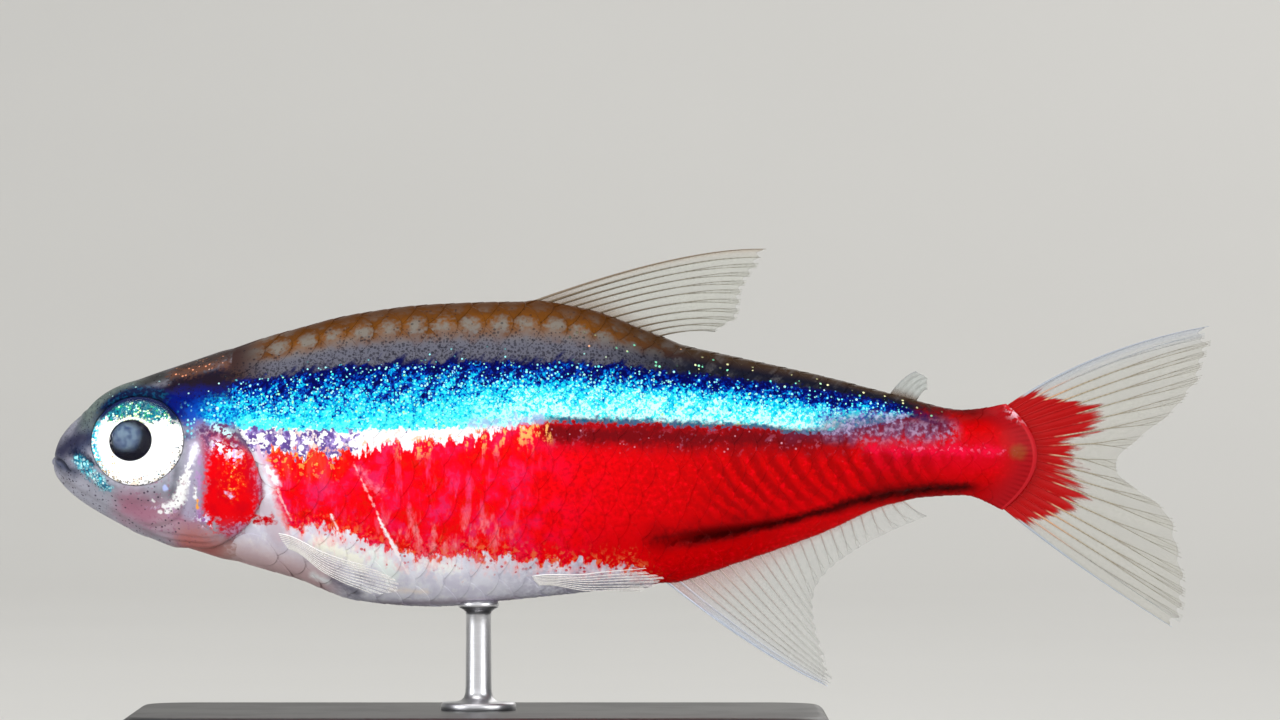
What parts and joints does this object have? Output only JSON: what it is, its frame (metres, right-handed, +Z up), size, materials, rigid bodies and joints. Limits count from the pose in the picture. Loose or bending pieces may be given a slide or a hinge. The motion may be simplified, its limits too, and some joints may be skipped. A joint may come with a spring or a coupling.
{
  "type": "cardinal tetra display model",
  "caption": "Life-size still model of a small, slender, laterally flat aquarium fish with forked tail fin and rayed fins, held level over a flat base by a short rod.",
  "frame": {"origin": "centre of the underside of the bounding box, on the surface the stand's base rests on", "axes": "+Z up; +X runs back along the fish, so the head points to -X; +Y is towards the fish's right side, so its left side faces -Y"},
  "size_m": [0.0462, 0.017, 0.0214],
  "materials": {
    "head_skin": "wet-looking translucent grey skin, blue over the eye",
    "jaw_skin": "pinkish grey, wet-looking",
    "gill_cover_skin": "glossy saturated red with a silvery front edge",
    "eye": "clear glossy cornea over a silvery white iris and a black pupil",
    "body_skin": "small glossy scales: olive back, glittering blue-green stripe, red flank, silvery belly",
    "tail_skin": "glossy red scales with a darker upper edge",
    "fin_membrane": "thin clear membrane over pale, jointed rays",
    "stand_rod": "satin steel",
    "stand_base": "plain satin black"
  },
  "bodies": {
    "root": {"head": "head_skin", "lower_jaw": "jaw_skin", "gill_cover_left": "gill_cover_skin", "gill_cover_right": "gill_cover_skin", "eye_left": "eye", "eye_right": "eye", "trunk": "body_skin", "tail": "tail_skin", "dorsal_fin": "fin_membrane", "adipose_fin": "fin_membrane", "caudal_fin": "fin_membrane", "anal_fin": "fin_membrane", "pectoral_fin_left": "fin_membrane", "pectoral_fin_right": "fin_membrane", "pelvic_fin_left": "fin_membrane", "pelvic_fin_right": "fin_membrane", "stand_rod": "stand_rod", "stand_base": "stand_base"}
  },
  "joints": []
}
